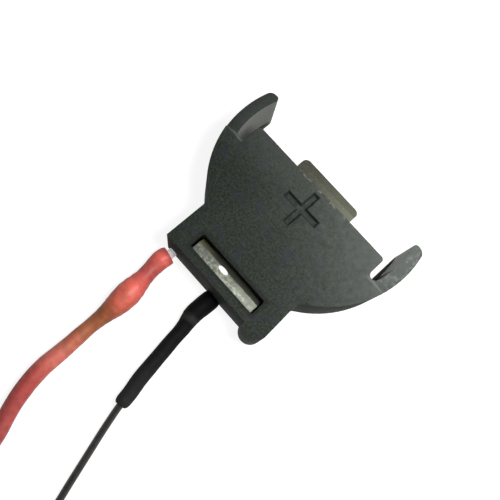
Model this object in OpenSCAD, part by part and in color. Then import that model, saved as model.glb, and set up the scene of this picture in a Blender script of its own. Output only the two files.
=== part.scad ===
// Coin cell holder with two soldered leads.
// A cell slides in from the open front (+Y) under the half-disc top plate, between two curved
// spring arms. The underside lies on z = 0 and the axis of the cell is the Z axis.

/* [Cell] */
// Diameter of the coin cell
cell_d = 20; // [16:0.5:24]
// Thickness of the coin cell
cell_h = 3.2; // [2.5:0.1:5]
// Radial clearance round the cell
cell_side_gap = 0.2; // [0.1:0.05:0.4]
// Clearance above the cell
cell_top_gap = 0.2; // [0.1:0.05:0.4]

/* [Housing] */
// Thickness of the wall round the cell and of the arms
wall_t = 1.3; // [1.3:0.1:1.8]
// Thickness of the floor under the cell
floor_t = 0.9; // [0.8:0.05:1.5]
// Thickness of the top plate
plate_t = 1; // [0.8:0.05:1.6]
// Distance from the cell axis back to the front edge of the top plate
plate_setback = 0.4; // [0.2:0.1:1]
// Distance from the cell axis forward to the front edge of the floor
floor_reach = 0.8; // [0.4:0.1:1.2]
// Width of the top plate between the two slots
plate_w = 17.8; // [14:0.2:18.2]
// Radius of the corners at the front of the plate and the floor
plate_corner_r = 0.4; // [0.2:0.1:1]

/* [Arms] */
// Distance from the cell axis back to the blind end of each slot
slot_back = 2.7; // [1.8:0.1:4]
// Distance from the cell axis forward to the tips of the arms
arm_reach = 3.2; // [2.6:0.1:4]
// Drop of the arm tops from their inner to their outer edge
arm_drop = 0.35; // [0.1:0.05:0.8]
// Radius of the outer corner of each tip
tip_outer_r = 0.65; // [0.3:0.05:0.65]
// Radius of the inner corner of each tip
tip_inner_r = 0.45; // [0.1:0.05:0.6]
// Greatest width of the straight ledge under the cell along each arm
ledge_w = 0.4; // [0.2:0.05:0.8]

/* [Terminal block] */
// Width of the terminal block behind the cell
block_w = 12.9; // [12:0.1:15]
// Depth of the terminal block behind the round wall
block_depth = 3; // [2.8:0.1:4]
// Thickness of the rear wall of the block
block_wall = 0.95; // [0.7:0.05:1.2]
// Thickness of the side walls of the block
block_side = 0.5; // [0.4:0.05:1]
// Width of the window in the top of the block
window_w = 8.6; // [7:0.1:9.5]
// Depth of the window from front to rear
window_d = 1.7; // [1.5:0.05:1.8]
// Radius of the window's front corners
window_corner_r = 0.35; // [0.1:0.05:0.6]
// Radius of the corner post at the right rear
post_r = 1.25; // [0.8:0.05:1.3]
// Bulge of the post past the side of the block
post_bulge = 0.25; // [0.1:0.05:0.3]
// Radius of the fillets between the block and the round wall
junction_r = 0.9; // [0.3:0.1:1.2]

/* [Polarity mark] */
// Length of each stroke of the plus mark
mark_l = 4.2; // [3:0.1:5]
// Width of each stroke
mark_w = 0.65; // [0.4:0.05:0.9]
// Depth of the mark
mark_depth = 0.35; // [0.1:0.05:0.5]
// Distance from the cell axis back to the middle of the mark
mark_back = 3.1; // [2.6:0.1:6]

/* [Contacts] */
// Thickness of the contact sheet
sheet_t = 0.25; // [0.15:0.05:0.3]
// Width of the negative tongue
tongue_w = 7.9; // [5:0.1:9]
// Height of the tongue's top face at its tip above the floor
tongue_lift = 1.75; // [1:0.05:2.4]
// Distance from the cell axis forward to the tip of the tongue
tongue_reach = 2.2; // [1.4:0.1:2.6]
// Width of the positive contact in the window
positive_w = 8.2; // [7:0.1:8.4]
// Depth of its top flange from front to rear
flange_d = 1.05; // [0.8:0.05:1.2]
// Width of the leaf that presses on the rim of the cell
leaf_w = 5; // [3:0.1:6]
// Width of both solder tails
tail_w = 0.6; // [0.4:0.05:0.65]
// Length of both solder tails behind the block
tail_l = 1.6; // [1.2:0.1:1.9]
// Distance from the middle to the positive tail on the left
positive_tail_x = 5.6; // [5:0.05:5.6]
// Distance from the middle to the negative tail on the right
negative_tail_x = 0.5; // [-1:0.1:2]

/* [Leads] */
// Diameter of both insulated leads
wire_d = 0.7; // [0.5:0.05:0.75]
// Wall thickness of the shrink sleeves
sleeve_t = 0.25; // [0.15:0.05:0.3]
// Diameter of the tinned bare ends
tip_d = 0.4; // [0.25:0.05:0.45]
// Length of the tinned bare ends
tip_l = 2.5; // [1.5:0.5:5]
// Greatest radius of the solder joints
solder_r = 0.5; // [0.48:0.01:0.54]
// Length of the solder joints behind the block
solder_l = 2.6; // [2.2:0.05:2.6]
// Diameter of the lead coils at the middle of their turns
coil_d = 7; // [7:0.1:8.4]
// Thickness of the coil ties
tie_t = 0.2; // [0.15:0.05:0.3]
// Width of the coil ties
tie_w = 1.2; // [0.8:0.1:2]

/* [Hidden] */
$fn = 96;
// overshoot of cutting shapes past the faces that they cut
over = 0.5;
// running clearance between the contacts and the housing
fit = 0.05;
// distance from the rear face forward to the axis of the corner post
post_inset = 0.5;
// how far the block's side starts to swell before it leaves the round wall
swell_reach = 1.5;
// margins of the negative strip inside the bay, and of its tongue's bends
strip_margin = 1;
strip_front = 3.5;
tongue_bend = 0.9;
tongue_droop = 0.3;
tongue_corner_r = 0.6;
// heights left free under and over the positive leaf, and its bends
leaf_floor_gap = 0.6;
leaf_top_gap = 0.3;
leaf_press = 0.55;
leaf_curl = 0.5;
leaf_curl_h = 0.1;

bay_r = cell_d / 2 + cell_side_gap;
outer_r = bay_r + wall_t;
bay_h = cell_h + cell_top_gap;
body_h = floor_t + bay_h + plate_t;
bay_top = floor_t + bay_h;
rear_y = outer_r + block_depth;
pocket_rear = rear_y - block_wall;
pocket_front = pocket_rear - window_d;
pocket_w = block_w - 2 * block_side;
ledge_x = bay_r - ledge_w;
post_x = block_w / 2 - post_r + post_bulge;
post_y = rear_y - post_inset;
leaf_z0 = floor_t + leaf_floor_gap;
leaf_z1 = bay_top - leaf_top_gap;

// the channel that seats the negative contact in the floor, and the strip in it
channel_depth = sheet_t + fit;
strip_z = floor_t - channel_depth;
strip_rear = bay_r - strip_margin;
tail_channel_w = tail_w + 2 * fit;

// the positive contact stands against the rear wall of the pocket
plate_y = pocket_rear - fit;
flange_z = bay_top - sheet_t;
positive_tail_z = floor_t + fit;
foot_h = 1;

// the solder joints and the leads' first points lie this far above the base plane
joint_z = 0.95;

// shape of the coil: three turns side by side, in two layers
layer_z = tie_t + wire_d / 2;
inner_turn_r = coil_d / 2 - wire_d;
outer_turn_r = coil_d / 2 + wire_d;
coil_r = outer_turn_r + wire_d / 2;
coil_h = 2 * wire_d;
lock_d = 0.8;

// Routes of the leads: each point is [x, y, height of the lead's underside], measured from
// where the terminal leaves the rear face, on the base plane.
RED_ROUTE = [
    [0, -0.6, 0.65], [-0.15, -1.5, 0.65], [-0.05, -2.7, 0.6], [0.2, -4.3, 0.8],
    [0.4, -5.9, 0.95], [0.5, -7.5, 0.86], [0.45, -9.1, 0.56], [0.4, -10.7, 0.42],
    [0.45, -12.5, 0.43], [0.5, -14.3, 0.47], [0.5, -15.9, 0.52], [0.6, -17.1, 0.52],
    [0.85, -18.5, 0.5], [1.3, -20.1, 0.48], [1.85, -21.5, 0.47], [2.5, -23, 0.47],
    [2.9, -24.3, 0.47], [3.15, -25.7, 0.25], [3.3, -27.2, 0.1], [3.3, -28.3, 0.15]];
BLACK_ROUTE = [
    [0, -0.06, 0.65], [-0.05, -1.4, 0.65], [-0.05, -2.7, 0.62], [0.3, -4.3, 0.46],
    [0.5, -5.8, 0.43], [0.75, -7.4, 0.43], [1, -9, 0.43], [1.25, -10.5, 0.43],
    [1.6, -11.9, 0.43], [1.85, -13.3, 0.4], [2.2, -14.7, 0.18], [2.65, -16.3, 0.03],
    [3.15, -17.9, 0], [3.65, -19.5, 0], [4.15, -21.1, 0], [4.7, -22.8, 0],
    [5.15, -24.4, 0], [5.5, -26, 0.03], [5.8, -27.5, 0.1]];
// centres of the coils, measured as the routes are
RED_COIL = [-0.9, -31];
BLACK_COIL = [10.2, -30];
// the tail of each lead leaves its coil along X: distances from the coil's centre and heights
TAIL_STEPS = [[2.5, 0.55], [4.1, 0.15], [5.6, 0], [6.3, 0]];

// Sleeve stations: [place along the route counted in its points, outer radius]
RED_SLEEVE = [
    [0, 0.9], [0.5, 0.98], [1, 0.99], [1.6, 0.95], [2.2, 0.88], [2.7, 0.89], [3.2, 1.03],
    [3.6, 1.18], [4.1, 1.27], [4.7, 1.21], [5.2, 1.11], [5.5, 1.0], [5.9, 0.88], [6.3, 0.8],
    [7, 0.75], [8, 0.78], [9, 0.82], [10, 0.87], [11, 0.87], [12, 0.85], [13, 0.83], [14, 0.82],
    [15, 0.82], [16, 0.82]];
BLACK_SLEEVE = [
    [0, 0.9], [0.4, 0.99], [1, 0.99], [1.6, 0.97], [2.1, 0.94], [2.4, 0.86], [2.8, 0.78],
    [3.5, 0.75], [5, 0.76], [6, 0.77], [7, 0.77], [8, 0.77], [8.6, 0.76], [8.85, 0.7], [9, 0.63]];

// ---------------------------------------------------------------- swept tubes

function unit(v) = v / norm(v);
function direction(path, i) = unit(path[min(i + 1, len(path) - 1)] - path[max(i - 1, 0)]);
// one ring of a tube: its first point lies to the side, and it stands square to the path
function ring(path, i, r, sides) =
    let (t = direction(path, i), s = unit(cross([0, 0, 1], t)), u = cross(t, s))
    [for (k = [0:sides - 1]) path[i] + r * (cos(360 * k / sides) * s + sin(360 * k / sides) * u)];
function rings(path, radii, sides) =
    [for (i = [0:len(path) - 1]) each ring(path, i, radii[i], sides)];
// faces between successive rings whose first point is number base
function skin(base, count, sides, inward) =
    [for (i = [0:count - 2], k = [0:sides - 1])
        let (a = base + i * sides + k, b = base + i * sides + (k + 1) % sides)
        each inward
            ? [[a, b, b + sides], [a, b + sides, a + sides]]
            : [[a, b + sides, b], [a, a + sides, b + sides]]];

// a solid tube along a path
module tube(path, radii, sides) {
    last = (len(path) - 1) * sides;
    polyhedron(
        points = rings(path, radii, sides),
        faces = concat(
            skin(0, len(path), sides, false),
            [[for (k = [0:sides - 1]) k]],
            [[for (k = [sides - 1:-1:0]) last + k]]));
}

// a hollow tube of wall t, open at both ends
module hollow_tube(path, radii, t, sides) {
    n = len(path);
    inner = n * sides;
    last = (n - 1) * sides;
    polyhedron(
        points = concat(
            rings(path, radii, sides),
            rings(path, [for (r = radii) r - t], sides)),
        faces = concat(
            skin(0, n, sides, false),
            skin(inner, n, sides, true),
            [for (k = [0:sides - 1]) let (m = (k + 1) % sides)
                each [[k, m, inner + m], [k, inner + m, inner + k]]],
            [for (k = [0:sides - 1]) let (m = (k + 1) % sides)
                each [[last + k, inner + last + m, last + m],
                    [last + k, inner + last + k, inner + last + m]]]));
}

// the middle of a lead at each point of its route
function lead_path(route) = [for (q = route) [q[0], q[1], q[2] + wire_d / 2]];
function at(path, s) =
    let (i = min(floor(s), len(path) - 2)) path[i] + (s - i) * (path[i + 1] - path[i]);
function tail(list, from) = [for (i = [from:len(list) - 1]) list[i]];

// ---------------------------------------------------------------- housing

// the corner square outside a circle of radius r that rounds it, pointing to +x +y
module corner(r) {
    difference() {
        square(r + over);
        circle(r);
    }
}

// plan of the round wall with the arms and their tips
module wall_plan() {
    outer_x = sqrt(pow(outer_r - tip_outer_r, 2) - pow(arm_reach - tip_outer_r, 2));
    inner_x = sqrt(pow(bay_r + tip_inner_r, 2) - pow(arm_reach - tip_inner_r, 2));
    difference() {
        circle(outer_r);
        translate([-outer_r - over, arm_reach])
            square([2 * (outer_r + over), outer_r]);
        for (side = [0, 1]) mirror([side, 0]) {
            translate([outer_x, arm_reach - tip_outer_r]) corner(tip_outer_r);
            translate([inner_x, arm_reach - tip_inner_r]) mirror([1, 0]) corner(tip_inner_r);
        }
    }
}

// fills the corner between the round wall and one side of the block
module junction_plan() {
    x = block_w / 2;
    fx = x + junction_r;
    fy = -sqrt(pow(outer_r + junction_r, 2) - fx * fx);
    touch = outer_r / (outer_r + junction_r);
    difference() {
        polygon([[x - over, fy], [x - over, -sqrt(outer_r * outer_r - x * x) + over],
            [fx * touch, fy * touch], [fx, fy]]);
        translate([fx, fy]) circle(junction_r);
    }
}

module block_plan() {
    translate([-block_w / 2, -rear_y]) square([block_w, rear_y - outer_r / 2]);
    for (side = [0, 1]) mirror([side, 0]) junction_plan();
    translate([post_x, -post_y]) circle(post_r);
    // the side swells out to the post
    polygon([[0, swell_reach - outer_r], [block_w / 2, swell_reach - outer_r],
        [post_x + post_r, -post_y], [0, -post_y]]);
}

// everything in front of a straight edge at y, and the slots beside the arms
module front_plan(y) {
    x = plate_w / 2;
    slot_r = (bay_r - x) / 2 - 0.15;
    translate([-outer_r, y]) square([2 * outer_r, 2 * outer_r]);
    for (side = [0, 1]) mirror([side, 0]) {
        translate([x, slot_r - slot_back]) square([outer_r, 2 * outer_r]);
        translate([x + slot_r, slot_r - slot_back]) circle(slot_r);
        translate([x - plate_corner_r, y - plate_corner_r]) corner(plate_corner_r);
    }
}

// what is taken from the round wall: the cell bay, its front opening and the slots
module bay_cut() {
    translate([0, 0, floor_t]) cylinder(r = bay_r, h = bay_h);
    translate([0, 0, floor_t + over])
        linear_extrude(body_h)
            intersection() {
                circle(bay_r);
                front_plan(-plate_setback);
            }
    // a straight ledge stays along each arm and runs out at its wall
    translate([0, 0, -over])
        linear_extrude(floor_t + 2 * over)
            intersection() {
                circle(bay_r);
                translate([-ledge_x, -outer_r]) square([2 * ledge_x, 2 * outer_r]);
                front_plan(floor_reach);
            }
}

// bevels the top of the arms down to their outer edge, from the blind end of the slots forward
module arm_bevel() {
    intersection() {
        rotate_extrude()
            polygon([[bay_r, body_h], [outer_r + over, body_h - arm_drop * (wall_t + over) / wall_t],
                [outer_r + over, body_h + over], [bay_r, body_h + over]]);
        translate([-2 * outer_r, -slot_back - over / 2, 0])
            cube([4 * outer_r, 2 * outer_r, 2 * body_h]);
    }
}

// plan of the window: square at the rear, rounded at the front
module window_plan() {
    x = window_w / 2 - window_corner_r;
    translate([-window_w / 2, -pocket_rear]) square([window_w, window_d - window_corner_r]);
    translate([-x, -pocket_rear]) square([2 * x, window_d]);
    for (side = [-1, 1])
        translate([side * x, -pocket_front - window_corner_r]) circle(window_corner_r);
}

// the pocket of the positive contact, its window, the way to the cell and the ways for the tails
module pocket_cut() {
    translate([-pocket_w / 2, -pocket_rear, floor_t])
        cube([pocket_w, window_d, bay_h]);
    translate([0, 0, floor_t]) linear_extrude(body_h) window_plan();
    translate([-leaf_w / 2 - fit, -pocket_front - over, leaf_z0 - fit])
        cube([leaf_w + 2 * fit, pocket_front - bay_r + 2 * over + 0.5, leaf_z1 - leaf_z0 + 2 * fit]);
    translate([-positive_tail_x - tail_w / 2 - fit, -rear_y - over, floor_t])
        cube([tail_w + 2 * fit, block_wall + 2 * over, sheet_t + 2 * fit]);
}

// the channels in the floor for the negative contact and its tail
module channel_cut() {
    translate([-tongue_w / 2 - fit, -strip_rear - fit, strip_z])
        cube([tongue_w + 2 * fit, 2 * outer_r, floor_t]);
    translate([negative_tail_x - tail_channel_w / 2, -rear_y - over, strip_z])
        cube([tail_channel_w, rear_y - strip_rear + 2 * over, sheet_t + fit]);
}

module plus_cut() {
    translate([0, -mark_back, body_h])
        for (turn = [0, 90]) rotate(turn)
            cube([mark_l, mark_w, 2 * mark_depth], center = true);
}

module housing() {
    color([0.17, 0.18, 0.17])
        difference() {
            union() {
                linear_extrude(body_h) wall_plan();
                linear_extrude(body_h) block_plan();
            }
            bay_cut();
            arm_bevel();
            pocket_cut();
            channel_cut();
            plus_cut();
        }
}

// ---------------------------------------------------------------- contacts

// a sheet strip of width w along X, folded along the points of its upper face in (y, z)
module folded(w, section) {
    translate([w / 2, 0, 0]) rotate([90, 0, -90]) linear_extrude(w) polygon(section);
}

// stands in the pocket behind the cell, shows in the window, and presses on the cell's rim
module positive_contact() {
    top = flange_z + sheet_t;
    flange_y = plate_y - flange_d;
    color([0.78, 0.78, 0.72]) {
        // upright plate and top flange
        translate([-positive_w / 2, -plate_y, positive_tail_z])
            cube([positive_w, sheet_t, top - positive_tail_z]);
        translate([-positive_w / 2, -plate_y, flange_z])
            cube([positive_w, flange_d, sheet_t]);
        // foot that carries the tail, and the tail
        translate([-positive_tail_x - tail_w / 2, -plate_y, positive_tail_z])
            cube([positive_tail_x + tail_w / 2, sheet_t, foot_h]);
        translate([-positive_tail_x - tail_w / 2, -rear_y - tail_l, positive_tail_z])
            cube([tail_w, tail_l + rear_y - plate_y + sheet_t, sheet_t]);
        leaf(flange_y, top);
    }
}

// the sprung leaf of the positive contact: an apron slopes down from the flange, and its middle
// runs on as a leaf that touches the cell's rim and curls back
module leaf(flange_y, top) {
    fold_y = pocket_front + fit;
    fold_z = leaf_z1 - fit;
    touch_y = bay_r - leaf_press;
    touch_z = (leaf_z0 + leaf_z1) / 2 - sheet_t;
    end_y = bay_r + leaf_curl;
    curl_z = leaf_z0 + leaf_curl_h;
    folded(positive_w, [
        [flange_y + over / 5, top], [flange_y, top], [fold_y, fold_z],
        [fold_y, fold_z - sheet_t], [flange_y + over / 5, flange_z]]);
    folded(leaf_w, [
        [fold_y + over / 5, fold_z], [fold_y, fold_z], [touch_y, touch_z],
        [end_y, curl_z], [end_y + sheet_t, curl_z + sheet_t / 2],
        [touch_y + 1.4 * sheet_t, touch_z], [fold_y + over / 5, fold_z - sheet_t]]);
}

// lies in the floor's channel, and its tongue springs up to the underside of the cell
module negative_contact() {
    z0 = strip_z;
    z1 = strip_z + sheet_t;
    tip_z = floor_t + tongue_lift;
    end_z = tip_z - tongue_droop;
    bend_y = tongue_bend - tongue_reach;
    color([0.55, 0.54, 0.46]) {
        difference() {
            folded(tongue_w, [
                [strip_rear, z0], [strip_rear, z1], [strip_front, z1],
                [bend_y, tip_z], [-tongue_reach, end_z],
                [-tongue_reach, end_z - sheet_t], [bend_y, tip_z - sheet_t],
                [strip_front - sheet_t / 2, z0]]);
            for (side = [0, 1]) mirror([side, 0])
                translate([tongue_w / 2 - tongue_corner_r, tongue_reach - tongue_corner_r, 0])
                    linear_extrude(body_h) corner(tongue_corner_r);
        }
        translate([negative_tail_x - tail_w / 2, -rear_y - tail_l, z0])
            cube([tail_w, rear_y + tail_l - strip_rear + over, sheet_t]);
    }
}

// ---------------------------------------------------------------- solder, sleeves and leads

// places a lead's pieces where its terminal leaves the rear face
module at_positive() { translate([-positive_tail_x, -rear_y, 0]) children(); }
module at_negative() { translate([negative_tail_x, -rear_y, 0]) children(); }

// a rounded joint along -Y, with the tail whose underside is at height z in it
module solder(z) {
    neck = solder_r - 0.04;
    difference() {
        translate([0, 0, joint_z]) rotate([90, 0, 0]) rotate_extrude()
            polygon(concat(
                [[0, 0], [neck, 0]],
                [for (a = [0:15:90]) [neck + (solder_r - neck) * sin(a), 0.7 * (1 - cos(a)) + 0.05]],
                [for (a = [0:15:90]) [wire_d / 2 + (solder_r - wire_d / 2) * cos(a),
                    solder_l - 0.9 + 0.9 * sin(a)]],
                [[0, solder_l]]));
        translate([-tail_w / 2, -tail_l, z]) cube([tail_w, tail_l + over, sheet_t]);
    }
}

module positive_solder() {
    color([0.85, 0.85, 0.85]) at_positive() solder(positive_tail_z);
}

module negative_solder() {
    color([0.8, 0.8, 0.8]) at_negative() solder(strip_z);
}

module sleeve(route, stations) {
    path = lead_path(route);
    hollow_tube([for (s = stations) at(path, s[0])], [for (s = stations) s[1]], sleeve_t, 12);
}

module red_sleeve() {
    color([0.85, 0.3, 0.26]) at_positive() sleeve(RED_ROUTE, RED_SLEEVE);
}

module black_sleeve() {
    color([0.12, 0.12, 0.12]) at_negative() sleeve(BLACK_ROUTE, BLACK_SLEEVE);
}

// the stretch to the coil, and the tail out of the coil that runs along side * X
module lead(route, coil, side) {
    stretch = tail(lead_path(route), 2);
    tube(stretch, [for (q = stretch) wire_d / 2], 8);
    end = [for (q = TAIL_STEPS) [coil[0] + side * q[0], coil[1] - outer_turn_r, q[1] + wire_d / 2]];
    tube(end, [for (q = end) wire_d / 2], 8);
}

module red_lead() { color([0.8, 0.2, 0.18]) at_positive() lead(RED_ROUTE, RED_COIL, -1); }
module black_lead() { color([0.1, 0.1, 0.1]) at_negative() lead(BLACK_ROUTE, BLACK_COIL, 1); }

// section of the coil, or of the tie round it where grow is the tie's thickness
module coil_section(grow) {
    r = wire_d / 2 + grow;
    w = outer_turn_r - inner_turn_r;
    translate([inner_turn_r, layer_z]) {
        for (x = [0, w], y = [0, wire_d]) translate([x, y]) circle(r, $fn = 32);
        translate([-r, 0]) square([w + 2 * r, wire_d]);
        translate([0, -r]) square([w, wire_d + 2 * r]);
    }
}

module coil() { rotate_extrude() coil_section(0); }

// a band round the turns at the side of the coil away from the holder's front
module tie() {
    span = tie_w / coil_r * 180 / PI;
    rotate(90 - span / 2) rotate_extrude(angle = span)
        difference() {
            coil_section(tie_t);
            coil_section(0);
        }
    // the lock of the tie
    translate([-tie_w / 2, coil_r + tie_t / 2, tie_t]) cube([tie_w, lock_d, coil_h]);
}

module tinned_tip(coil, side) {
    translate([coil[0] + side * TAIL_STEPS[3][0], coil[1] - outer_turn_r, wire_d / 2])
        rotate([0, side * 90, 0]) cylinder(d = tip_d, h = tip_l);
}

module red_lead_coil() { color([0.8, 0.2, 0.18]) at_positive() translate(RED_COIL) coil(); }
module black_lead_coil() { color([0.1, 0.1, 0.1]) at_negative() translate(BLACK_COIL) coil(); }
module red_coil_tie() { color([0.9, 0.9, 0.88]) at_positive() translate(RED_COIL) tie(); }
module black_coil_tie() { color([0.9, 0.9, 0.88]) at_negative() translate(BLACK_COIL) tie(); }
module red_lead_tip() { color([0.8, 0.8, 0.82]) at_positive() tinned_tip(RED_COIL, -1); }
module black_lead_tip() { color([0.8, 0.8, 0.82]) at_negative() tinned_tip(BLACK_COIL, 1); }

housing();
positive_contact();
negative_contact();
positive_solder();
negative_solder();
red_sleeve();
black_sleeve();
red_lead();
black_lead();
red_lead_coil();
black_lead_coil();
red_coil_tie();
black_coil_tie();
red_lead_tip();
black_lead_tip();
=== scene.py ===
"""The looks of a coin cell holder with two sleeved leads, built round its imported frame.

The cell's axis is Z, the open front faces +Y and the underside lies at z = 0. Lengths are metres
unless a name ends in _mm, and MM turns millimetres into metres.
"""

import logging
import math
from dataclasses import dataclass, field
from enum import Enum
from typing import Optional, Sequence, Union

import bmesh
import bpy
from mathutils import Matrix, Vector, noise


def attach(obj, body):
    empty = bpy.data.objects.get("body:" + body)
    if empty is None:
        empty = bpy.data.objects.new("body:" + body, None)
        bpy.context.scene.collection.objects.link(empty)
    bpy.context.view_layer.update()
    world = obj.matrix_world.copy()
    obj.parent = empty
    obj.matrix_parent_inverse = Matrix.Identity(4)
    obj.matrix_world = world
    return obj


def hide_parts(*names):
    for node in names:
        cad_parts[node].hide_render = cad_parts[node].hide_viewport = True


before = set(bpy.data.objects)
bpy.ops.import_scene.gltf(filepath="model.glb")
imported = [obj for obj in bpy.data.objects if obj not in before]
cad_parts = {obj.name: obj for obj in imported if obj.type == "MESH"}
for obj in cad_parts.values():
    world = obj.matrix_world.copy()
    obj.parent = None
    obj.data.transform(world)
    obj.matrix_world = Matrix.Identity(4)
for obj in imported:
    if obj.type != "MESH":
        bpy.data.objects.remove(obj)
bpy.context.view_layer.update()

MM = 0.001
BODY = "root"
LOG = logging.getLogger("coin_cell_holder")

Point = tuple[float, float, float]
Colour = tuple[float, float, float]
Span = tuple[float, float]
Socket = bpy.types.NodeSocket
Value = Union[bpy.types.NodeSocket, float]
Paint = Union[bpy.types.NodeSocket, Colour]


class Outlet(Enum):
    """Which way along X a lead leaves its coil."""

    LEFT = -1
    RIGHT = 1


class Grain(Enum):
    """How a noise is stretched, as factors on millimetre coordinates."""

    EVEN = (1.0, 1.0, 1.0)
    ALONG_X = (0.12, 1.0, 1.0)


# ------------------------------------------------------------------ shapes


def spline(points: Sequence[Vector], place: float) -> Vector:
    """Find a place on the smooth curve through some points.

    Args:
        points: The points that the curve passes through.
        place: The place counted in points, such as 2.5 for half-way from the third to the fourth.

    Returns:
        The place in space.
    """
    last = len(points) - 1
    start = min(max(int(place), 0), last - 1)
    t = place - start
    a, b = points[max(start - 1, 0)], points[start]
    c, d = points[start + 1], points[min(start + 2, last)]
    return 0.5 * (
        2 * b + (c - a) * t + (2 * a - 5 * b + 4 * c - d) * t**2 + (3 * b - a - 3 * c + d) * t**3
    )


def level(stations: Sequence[Span], place: float) -> float:
    """Read a value that eases from station to station.

    Args:
        stations: Pairs of a place and the value there, in order.
        place: Where to read the value.

    Returns:
        The value at the place.
    """
    for (x0, y0), (x1, y1) in zip(stations, stations[1:]):
        if place <= x1:
            t = max(0.0, (place - x0) / (x1 - x0))
            return y0 + (y1 - y0) * t * t * (3 - 2 * t)
    return stations[-1][1]


def ring(path: Sequence[Vector], index: int, radius: float, sides: int) -> list[Vector]:
    """Place one ring of a tube square to its path.

    Args:
        path: The middle line of the tube.
        index: Which point of the path the ring goes round.
        radius: The ring's radius.
        sides: The number of points on the ring.

    Returns:
        The ring's points.
    """
    ahead = path[min(index + 1, len(path) - 1)]
    behind = path[max(index - 1, 0)]
    tangent = (ahead - behind).normalized()
    side = Vector((0, 0, 1)).cross(tangent).normalized()
    up = tangent.cross(side)
    turns = [2 * math.pi * k / sides for k in range(sides)]
    return [path[index] + radius * (math.cos(a) * side + math.sin(a) * up) for a in turns]


def new_piece(
    name: str, points: Sequence[Vector], faces: Sequence[Sequence[int]]
) -> bpy.types.Object:
    """Make a smooth mesh object that rides on the part.

    Args:
        name: The piece's name.
        points: The vertices, in the part's frame.
        faces: The vertex numbers of each face.

    Returns:
        The new object.
    """
    mesh = bpy.data.meshes.new(name)
    mesh.from_pydata([tuple(p) for p in points], [], faces)
    mesh.shade_smooth()
    mesh.update()
    piece = bpy.data.objects.new(name, mesh)
    bpy.context.scene.collection.objects.link(piece)
    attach(piece, BODY)
    return piece


def ring_faces(base: int, count: int, sides: int, inward: bool = False) -> list[list[int]]:
    """Join successive rings of points with four-sided faces.

    Args:
        base: The number of the first ring's first point.
        count: The number of rings.
        sides: The number of points on each ring.
        inward: Whether the faces look towards the tube's middle line.

    Returns:
        The faces.
    """
    faces = []
    for i in range(count - 1):
        for k in range(sides):
            a, b = base + i * sides + k, base + i * sides + (k + 1) % sides
            face = [a, a + sides, b + sides, b]
            faces.append(face if inward else face[::-1])
    return faces


def tube(
    name: str, path: Sequence[Vector], radii: Sequence[float], sides: int
) -> bpy.types.Object:
    """Sweep a solid round tube along a path.

    Args:
        name: The piece's name.
        path: The middle line.
        radii: The radius at each point of the path.
        sides: The number of points round the tube.

    Returns:
        The tube.
    """
    points = [p for i, r in enumerate(radii) for p in ring(path, i, r, sides)]
    last = (len(path) - 1) * sides
    faces = ring_faces(0, len(path), sides)
    faces.append(list(range(sides)))
    faces.append([last + k for k in reversed(range(sides))])
    return new_piece(name, points, faces)


# ------------------------------------------------------------------ surfaces


@dataclass(frozen=True)
class Mottle:
    """Patches in a noise.

    Attributes:
        size_mm: The size of a lump of the noise.
        detail: How many finer layers it has.
        start: The noise at which a patch begins.
        full: The noise at which it is strongest.
        share: How strong it is there.
        grain: How the noise is stretched.
    """

    size_mm: float
    detail: float
    start: float
    full: float
    share: float = 1.0
    grain: Grain = Grain.EVEN


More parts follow.
